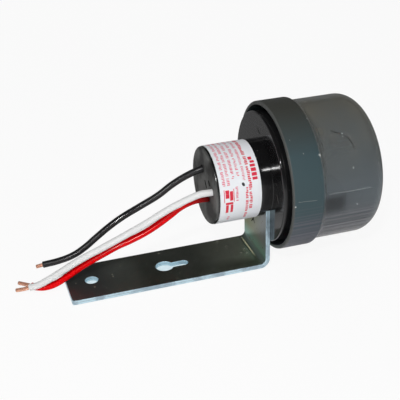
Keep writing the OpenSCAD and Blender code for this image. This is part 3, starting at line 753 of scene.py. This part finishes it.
def bracketMesh(look):
    loops, bendFrom, bendTo, neutral, bendOut = stripLoops(look)
    strip = bmesh.new()
    edges = []
    for loop in loops:
        ring = [strip.verts.new((x, y, 0)) for x, y in loop]
        edges += [strip.edges.new((ring[i - 1], ring[i])) for i in range(len(ring))]
    bmesh.ops.triangle_fill(strip, use_beauty=True, use_dissolve=False, edges=edges)
    steps = look["foldSteps"]
    folds = [bendFrom + (bendTo - bendFrom) * i / steps for i in range(steps + 1)]
    for cut in (*folds, *look["cuts"]):
        everything = strip.verts[:] + strip.edges[:] + strip.faces[:]
        bmesh.ops.bisect_plane(strip, geom=everything, plane_co=(cut, 0, 0), plane_no=(1, 0, 0), dist=0.0001)
    raised = bmesh.ops.extrude_face_region(strip, geom=strip.faces[:])["geom"]
    for vert in (v for v in raised if isinstance(v, bmesh.types.BMVert)):
        vert.co.z = look["steel"]
    bmesh.ops.recalc_face_normals(strip, faces=strip.faces)
    for face in strip.faces:
        face.material_index = 1 if abs(face.normal.z) < 0.5 else 0
    rims = [e for e in strip.edges if len({f.material_index for f in e.link_faces}) == 2]
    bmesh.ops.bevel(strip, geom=rims, offset=look["edge"], segments=look["edgeSteps"], profile=0.5,
                    affect="EDGES", material=1)
    depth = strip.verts.layers.float.new("depth")
    for vert in strip.verts:
        vert[depth] = vert.co.z / look["steel"]
        vert.co = bendPlace(look, *vert.co, bendFrom, bendTo, neutral, bendOut)
    for face in strip.faces:
        face.smooth = True
    bmesh.ops.recalc_face_normals(strip, faces=strip.faces)
    return strip


def rolledFinish(look):
    finish, tree, shader, spot = startFinish("platedSteel")
    cloud = noise(tree, spot, look["cloud"], 6, 0.6)
    tone = blendTone(tree, ramp(tree, cloud, *look["cloudSpan"]), look["tone"], look["shift"])
    haze = noise(tree, spot, look["haze"], 4)
    tone = blendTone(tree, ramp(tree, haze, *look["hazeSpan"]), tone, look["stain"])
    x, y, z = axes(tree, spot)
    foot = fall(tree, z, *look["footDrop"])
    legTone = blendTone(tree, ramp(tree, y, *look["across"]), look["near"], look["far"])
    legTone = blendTone(tree, foot, legTone, look["foot"])
    onLeg = ramp(tree, x, *look["legRise"])
    tone = blendTone(tree, times(tree, onLeg, look["legShare"]), tone, legTone)
    bent = times(tree, ramp(tree, x, *look["foldRise"]), fall(tree, z, *look["foldTop"]))
    tone = blendTone(tree, times(tree, bent, look["foldShare"]), tone, look["fold"])
    tip = fall(tree, x, *look["tipDrop"])
    tone = blendTone(tree, tip, tone, look["tip"])  # stained free end
    # painted sheen: brighter band on the far part of the arm before the bend
    paintedSheen = between(tree, x, look["paintedSheenFrom"], look["paintedSheenTo"])
    paintedSheen = times(tree, paintedSheen, ramp(tree, y, *look["paintedSheenNear"]))
    tone = blendTone(tree, paintedSheen, tone, look["paintedSheen"])
    bendHighlight = between(tree, x, look["bendHighlightFrom"], look["bendHighlightTo"])  # painted highlight: a bright line along the inside of the bend
    bendHighlight = times(tree, bendHighlight, between(tree, y, look["bendHighlightNear"], look["bendHighlightFar"]))
    bendHighlight = times(tree, bendHighlight, ramp(tree, z, *look["bendHighlightUp"]))
    tone = blendTone(tree, bendHighlight, tone, look["bendHighlight"])
    pits = specks(tree, spot, *look["pits"])
    tree.links.new(blendTone(tree, pits, tone, look["pit"]), shader.inputs["Base Color"])
    grain = noise(tree, stretchSpot(tree, spot, look["grain"]), 1.0, 4)
    rough = ramp(tree, grain, *plainLook["fineSpan"], *look["rough"])
    rough = plus(tree, rough, times(tree, pits, look["pitRough"]))
    tree.links.new(rough, shader.inputs["Roughness"])
    addBump(tree, shader, grain, look["bump"], look["bumpDepth"])
    dull = larger(tree, times(tree, pits, look["pitDull"]), times(tree, bendHighlight, look["bendHighlightDull"]))
    dull = larger(tree, dull, times(tree, times(tree, onLeg, foot), look["footDull"]))
    dull = larger(tree, dull, times(tree, tip, look["tipDull"]))
    tree.links.new(calc(tree, "SUBTRACT", 1.0, dull), shader.inputs["Metallic"])
    return finish


def shearedFinish(look):  # cut edge: a ragged darker line between the sheared and the torn band
    finish, tree, shader, spot = startFinish("shearedEdge")
    patches = noise(tree, spot, look["patch"], 5)
    tone = blendTone(tree, ramp(tree, patches, *look["patchSpan"]), look["cut"], look["cutShift"])
    level = tree.nodes.new("ShaderNodeAttribute")
    level.attribute_name = "depth"
    waver = times(tree, noise(tree, spot, look["ragged"], 3), look["raggedShare"])
    ragged = plus(tree, level.outputs["Fac"], waver)
    line = between(tree, ragged, look["lineFrom"], look["lineTo"])
    tone = blendTone(tree, line, tone, look["torn"])
    tree.links.new(tone, shader.inputs["Base Color"])
    grain = noise(tree, stretchSpot(tree, spot, look["grain"]), 1.0, 3)
    rough = ramp(tree, grain, *plainLook["fineSpan"], *look["rough"])
    rough = plus(tree, rough, ramp(tree, ragged, *look["tornSpan"], look["tornRough"], 0.0))
    tree.links.new(rough, shader.inputs["Roughness"])
    addBump(tree, shader, grain, look["bump"], look["bumpDepth"])
    shader.inputs["Metallic"].default_value = look["metal"]
    return finish


bracketStrip = meshPiece("bracketStrip", bracketMesh(bracketLook), rolledFinish(bracketLook["rolled"]))
bracketStrip.data.materials.append(shearedFinish(bracketLook["sheared"]))
bracketStrip.modifiers.new("shade", "WEIGHTED_NORMAL").weight = bracketLook["normalWeight"]
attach(bracketStrip, "socket")
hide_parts("bracket")
print("bracket bent")

# metal and board pieces

brassLook = {
    "name": "brass", "tone": (0.72, 0.50, 0.18), "shift": (0.58, 0.38, 0.12), "rough": (0.22, 0.38),
    "metal": 1.0, "bump": 0.05}
brass = mouldedFinish(brassLook)
for node in ("blade_line", "blade_load", "blade_neutral", "contact_line", "contact_load", "contact_neutral"):
    wear(node, brass)
screwLook = {
    "name": "screwSteel", "tone": (0.62, 0.62, 0.60), "shift": (0.48, 0.48, 0.46),
    "rough": (0.22, 0.36), "metal": 1.0}
screwSteel = mouldedFinish(screwLook)
for node in ("board_screws", "clamp_screw"):
    wear(node, screwSteel)
boardLook = {
    "circuit_board": {"name": "boardLaminate", "tone": (0.035, 0.16, 0.07), "shift": (0.05, 0.20, 0.09),
                      "rough": (0.3, 0.45), "patch": 250},
    "relay": {"name": "relayCase", "tone": (0.012, 0.012, 0.014), "shift": (0.02, 0.02, 0.022),
              "rough": (0.3, 0.45)},
    "diodes": {"name": "diodeCase", "tone": (0.012, 0.012, 0.012), "shift": (0.03, 0.03, 0.03),
               "rough": (0.3, 0.5)},
    "film_capacitor": {"name": "filmCase", "tone": (0.55, 0.33, 0.04), "shift": (0.48, 0.28, 0.03),
                       "rough": (0.28, 0.4)},
    "electrolytic_capacitor": {"name": "canSleeve", "tone": (0.02, 0.025, 0.06),
                               "shift": (0.03, 0.035, 0.075), "rough": (0.2, 0.32)},
    "varistor": {"name": "dippedCeramic", "tone": (0.02, 0.07, 0.28), "shift": (0.03, 0.1, 0.36),
                 "rough": (0.25, 0.4), "bump": 0.2, "fine": 500},
    "resistor": {"name": "bakedCeramic", "tone": (0.48, 0.36, 0.2), "shift": (0.42, 0.3, 0.16),
                 "rough": (0.5, 0.7)},
    "light_sensor": {"name": "sensorCell", "tone": (0.52, 0.2, 0.08), "shift": (0.6, 0.42, 0.28),
                     "rough": (0.35, 0.5), "patch": 400},
    "sensor_holder": {"name": "holderPlastic", "tone": (0.62, 0.62, 0.57), "shift": (0.56, 0.56, 0.51),
                      "rough": (0.4, 0.55)}}
for node, look in boardLook.items():
    wear(node, mouldedFinish(look))
print("head's inside dressed")

# label: coated paper with plain red bars in rows round the barrel

labelLook = {
    "paper": {"name": "labelPaper", "tone": (0.83, 0.85, 0.885), "shift": (0.80, 0.82, 0.855),
              "rough": (0.34, 0.46), "fine": 2500, "bump": 0.08},
    "radius": 21.85 + 0.03 + 0.12 + 0.012,  # housing, gap, paper and ink
    "seed": 5, "step": 0.06, "wordStrokes": (5, 13), "heights": (0.7, 0.85, 1.0, 1.0),
    "gapSpread": (0.8, 1.2), "wordGap": 0.8,
    "tick": {"along": -17.1, "angle": 246.6, "slant": (0.24, 0.9), "steps": 3,
             "height": 1.15, "width": 1.35},
    "fine": {"name": "finePrint", "tone": (0.70, 0.05, 0.12), "shift": (0.74, 0.12, 0.20),
             "rough": (0.4, 0.5)},
    "bold": {"name": "boldPrint", "tone": (0.66, 0.012, 0.04), "shift": (0.72, 0.03, 0.07),
             "rough": (0.4, 0.5)},
    "pen": {"name": "penInk", "tone": (0.01, 0.01, 0.014), "shift": (0.02, 0.02, 0.025),
            "rough": (0.35, 0.5)}}
# rows: ink, middle along the barrel, first and last angle, height, thinnest and thickest stroke, gap
labelRows = [
    ("fine", -27.7, 152, 247, 1.6, 0.30, 0.58, 0.40),
    ("fine", -25.1, 150, 247, 1.6, 0.30, 0.58, 0.40),
    ("fine", -22.1, 153, 239, 1.6, 0.30, 0.58, 0.40),
    ("fine", -19.1, 151, 236, 1.6, 0.28, 0.52, 0.42),
    ("fine", -16.1, 154, 243, 1.5, 0.28, 0.52, 0.42),
    ("bold", -13.0, 152, 289, 1.8, 0.55, 1.0, 0.34),
    ("bold", -9.9, 211, 246, 2.9, 1.3, 2.2, 0.55),
    ("bold", -15.2, 254, 309, 1.5, 0.40, 0.8, 0.32),
    ("fine", -20.8, 251, 271, 1.4, 0.36, 0.65, 0.32),
    ("fine", -25.0, 300, 309, 1.4, 0.36, 0.65, 0.32)]
# plain blocks: middle along the barrel, first angle, height, width round it
labelBlocks = [
    (-28.0, 253, 0.4, 7.4), (-22.6, 253, 0.4, 7.4), (-26.3, 254, 2.1, 4.6), (-24.0, 256, 1.8, 5.4),
    (-25.2, 272.5, 4.2, 1.3), (-26.4, 276.5, 1.5, 5.4), (-23.8, 276.5, 1.4, 5.4)]


def wrapPatch(mesh, along, angle, height, width):  # a bar that follows the barrel, width in mm round it
    radius = labelLook["radius"]
    span = width / radius
    steps = max(2, int(span / labelLook["step"]))
    rows = []
    for i in range(steps + 1):
        turn = math.radians(angle) + span * i / steps
        rows.append([mesh.verts.new(turnPoint(radius, along + s * height / 2, turn)) for s in (-1, 1)])
    ribbonFaces(mesh, rows, True)


def printRows(look):
    dice = random.Random(look["seed"])
    sheets = {"fine": bmesh.new(), "bold": bmesh.new(), "pen": bmesh.new()}
    perMm = math.degrees(1 / look["radius"])
    for ink, along, first, last, height, thin, thick, gap in labelRows:
        angle = first
        while angle < last:
            for stroke in range(dice.randint(*look["wordStrokes"])):  # one word of plain upright strokes
                width = dice.uniform(thin, thick)
                tall = height * dice.choice(look["heights"])
                offset = (height - tall) * 0.5 * dice.choice((-1, 1))
                wrapPatch(sheets[ink], along + offset, angle, tall, width)
                angle += (width + gap * dice.uniform(*look["gapSpread"])) * perMm
                if angle > last:
                    break
            angle += look["wordGap"] * perMm
    for along, angle, height, width in labelBlocks:
        wrapPatch(sheets["bold"], along, angle, height, width)
    tick = look["tick"]  # slanted pen tick
    for i in range(tick["steps"]):
        along, angle = tick["along"] + tick["slant"][0] * i, tick["angle"] + tick["slant"][1] * i
        wrapPatch(sheets["pen"], along, angle, tick["height"], tick["width"])
    return sheets


wear("label", mouldedFinish(labelLook["paper"]))
for ink, sheet in printRows(labelLook).items():
    bmesh.ops.recalc_face_normals(sheet, faces=sheet.faces)
    piece = meshPiece(ink + "Print", sheet, mouldedFinish(labelLook[ink]))
    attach(piece, "socket")
print("label printed")

# studio: pale floor, pale walls low down, dark above, soft lamps all round

studioLook = {
    "floor": (0.88, 0.88, 0.88), "floorRough": 0.9, "side": 4.0, "level": -0.0004, "glow": 0.91,
    # painted shadow on the floor under the arm
    "under": 0.60, "underTone": (0.72, 0.92, 1.0), "underFrom": (-0.0141, -0.0135),
    "underTo": (0.094, 0.098), "underHalf": (0.0165, 0.0172),
    "mirrorFront": 0.85, "mirrorBack": 0.26, "mirrorSpan": (-0.014, 0.045),
    "mirrorCap": 0.62, "capSpan": (0.095, 0.125),
    "backdrop": (0.97, 0.97, 0.97), "dark": (0.024, 0.023, 0.021), "pale": (0.20, 0.205, 0.21),
    "paleTo": 0.10, "darkFrom": 0.34, "middle": (0.08, 0, 0.04)}
lampLook = {
    "key": {"from": (-26.0, 41.0), "distance": 0.9, "size": (0.09, 0.04), "power": 2.8, "mirrored": True},
    "rim": {"from": (-157, 24), "distance": 0.9, "size": (0.08, 0.1), "power": 0.05, "mirrored": True},
    "fill": {"from": (-40, 32), "distance": 1.1, "size": (1.0, 1.0), "power": 4.4},
    "front": {"from": (10, 14), "distance": 1.2, "size": (0.9, 0.9), "power": 3.6},
    "overhead": {"from": (0, 85), "distance": 1.2, "size": (1.2, 1.2), "power": 2.6},
    "back": {"from": (170, 30), "distance": 1.2, "size": (1.0, 1.0), "power": 3.2},
    "blackGlint": {"from": (-54.0, 16.0), "distance": 0.9, "size": (0.04, 0.06),
                   "power": 2.4, "mirrored": True, "aim": (0.0203, 0.0151, 0.0289), "only": "blackLead"},
    "redGlint": {"from": (-21.7, 19.5), "distance": 0.9, "size": (0.08, 0.05),
                 "power": 6.0, "mirrored": True, "aim": (0.0261, -0.0034, 0.0265), "only": "redLead"}}


def layFloor(look):
    sheet = bmesh.new()
    side, level = look["side"], look["level"]
    corners = ((-side, -side), (side, -side), (side, side), (-side, side))
    sheet.faces.new([sheet.verts.new((x, y, level)) for x, y in corners])
    finish, tree, shader, spot = startFinish("paleFloor")
    shader.inputs["Base Color"].default_value = (*look["floor"], 1)
    shader.inputs["Roughness"].default_value = look["floorRough"]
    glow = tree.nodes.new("ShaderNodeEmission")
    path = tree.nodes.new("ShaderNodeLightPath")
    x, y = axes(tree, spot)[:2]
    under = between(tree, x, look["underFrom"], look["underTo"])  # painted shadow, tinted blue, on the floor under the arm, seen through its holes
    under = times(tree, under, fall(tree, calc(tree, "ABSOLUTE", y, 0.0), *look["underHalf"]))
    tree.links.new(blendTone(tree, under, (1.0, 1.0, 1.0), look["underTone"]), glow.inputs["Color"])
    table = ramp(tree, y, *look["mirrorSpan"], look["mirrorFront"], look["mirrorBack"])  # dimmer behind
    table = times(tree, table, ramp(tree, x, *look["capSpan"], 1.0, look["mirrorCap"]))  # cap's shade
    mirrored = path.outputs["Is Glossy Ray"]
    dimmed = times(tree, mirrored, plus(tree, table, -1.0))
    tree.links.new(plus(tree, dimmed, 1.0), glow.inputs["Strength"])
    seen = larger(tree, path.outputs["Is Camera Ray"], path.outputs["Is Transmission Ray"])
    seen = times(tree, seen, ramp(tree, under, 0, 1, look["glow"], look["under"]))
    seen = larger(tree, seen, mirrored)
    mix = tree.nodes.new("ShaderNodeMixShader")
    tree.links.new(seen, mix.inputs["Fac"])
    tree.links.new(shader.outputs["BSDF"], mix.inputs[1])
    tree.links.new(glow.outputs["Emission"], mix.inputs[2])
    tree.links.new(mix.outputs["Shader"], tree.nodes["Material Output"].inputs["Surface"])
    meshPiece("floor", sheet, finish)


def paintWalls(look):
    world = bpy.data.worlds.new("studio")
    bpy.context.scene.world = world
    world.use_nodes = True
    tree = world.node_tree
    spot = tree.nodes.new("ShaderNodeTexCoord").outputs["Generated"]
    height = ramp(tree, axes(tree, spot)[2], look["paleTo"], look["darkFrom"])
    tone = blendTone(tree, height, look["pale"], look["dark"])
    path = tree.nodes.new("ShaderNodeLightPath")
    tone = blendTone(tree, path.outputs["Is Camera Ray"], tone, look["backdrop"])
    tree.links.new(tone, tree.nodes["Background"].inputs["Color"])


def hangLamp(name, look):
    lamp = bpy.data.lights.new(name, "AREA")
    lamp.shape = "RECTANGLE"
    lamp.size, lamp.size_y = look["size"]
    lamp.energy = look["power"]
    back = outward(*(math.radians(angle) for angle in look["from"]))
    holder = bpy.data.objects.new(name, lamp)
    holder.location = Vector(look.get("aim", studioLook["middle"])) + back * look["distance"]
    holder.rotation_mode = "QUATERNION"
    holder.rotation_quaternion = (-back).to_track_quat("-Z", "Y")
    holder.visible_glossy = holder.visible_transmission = look.get("mirrored", False)
    if "only" in look:  # a highlight on one lead
        lit = bpy.data.collections.new(name + "Lit")
        lit.objects.link(bpy.data.objects[look["only"]])
        holder.light_linking.receiver_collection = lit
        holder.visible_diffuse = False
    bpy.context.collection.objects.link(holder)


layFloor(studioLook)
paintWalls(studioLook)
for name, look in lampLook.items():
    hangLamp(name, look)
bpy.context.scene.view_settings.view_transform = "Standard"
print("studio lit")
